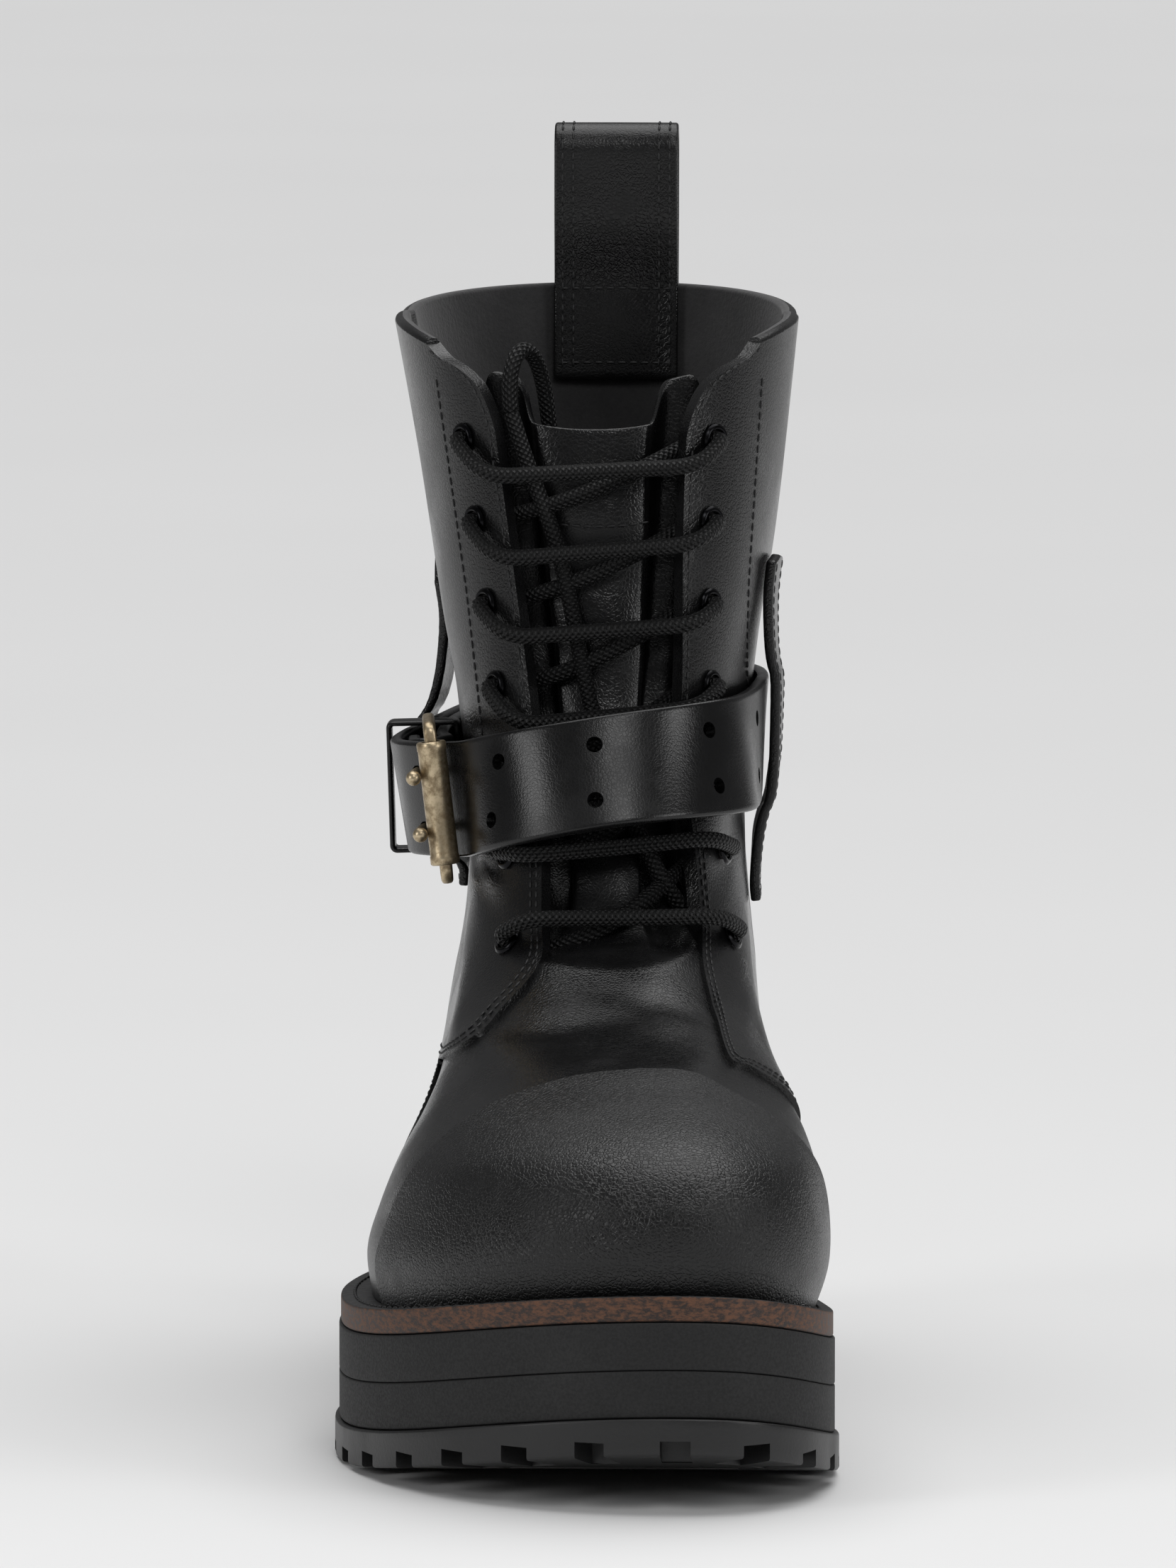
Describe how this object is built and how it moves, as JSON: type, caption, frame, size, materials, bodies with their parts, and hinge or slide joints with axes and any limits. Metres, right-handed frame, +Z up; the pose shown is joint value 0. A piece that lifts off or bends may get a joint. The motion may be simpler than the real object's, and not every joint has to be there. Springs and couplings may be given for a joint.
{
  "type": "lace-up boot",
  "caption": "Right black leather lace-up boot on a thick lugged platform sole, with a buckled ankle belt, seven rows of eyelets, a bellows tongue and a tall pull loop.",
  "frame": {"origin": "centre of the boot's box, on the floor under the sole", "axes": "+X towards the medial side, -Y towards the toe, +Z up"},
  "size_m": [0.118, 0.305, 0.2953],
  "materials": {
    "upper_leather": "matt waxed grain",
    "belt_leather": "smooth matt",
    "lining": "suede",
    "midsole_foam": "matt",
    "outsole_rubber": "satin",
    "welt_edge": "speckled brown, satin",
    "lace_cord": "braided",
    "black_metal": "gloss black",
    "antique_brass": "antique, worn"
  },
  "bodies": {
    "root": {"outsole_front": "outsole_rubber", "outsole_heel": "outsole_rubber", "heel_block": "midsole_foam", "midsole_lower": "midsole_foam", "midsole_upper": "midsole_foam", "welt": "welt_edge", "insole": "lining", "upper": "upper_leather", "tongue": "upper_leather", "pull_loop": "upper_leather", "lace_bar_1": "lace_cord", "lace_bar_2": "lace_cord", "lace_bar_3": "lace_cord", "lace_bar_4": "lace_cord", "lace_bar_5": "lace_cord", "lace_bar_6": "lace_cord", "lace_bar_7": "lace_cord", "lace_crossings": "lace_cord", "lace_end": "lace_cord", "belt_strap": "belt_leather", "keeper_ring": "belt_leather", "keeper_medial": "upper_leather", "keeper_lateral": "upper_leather", "buckle_frame": "antique_brass", "buckle_roller": "antique_brass", "buckle_prong_1": "antique_brass", "buckle_prong_2": "antique_brass", "eyelet_lateral_1": "black_metal", "eyelet_lateral_2": "black_metal", "eyelet_lateral_3": "black_metal", "eyelet_lateral_4": "black_metal", "eyelet_lateral_5": "black_metal", "eyelet_lateral_6": "black_metal", "eyelet_lateral_7": "black_metal", "eyelet_medial_1": "black_metal", "eyelet_medial_2": "black_metal", "eyelet_medial_3": "black_metal", "eyelet_medial_4": "black_metal", "eyelet_medial_5": "black_metal", "eyelet_medial_6": "black_metal", "eyelet_medial_7": "black_metal"}
  },
  "joints": []
}
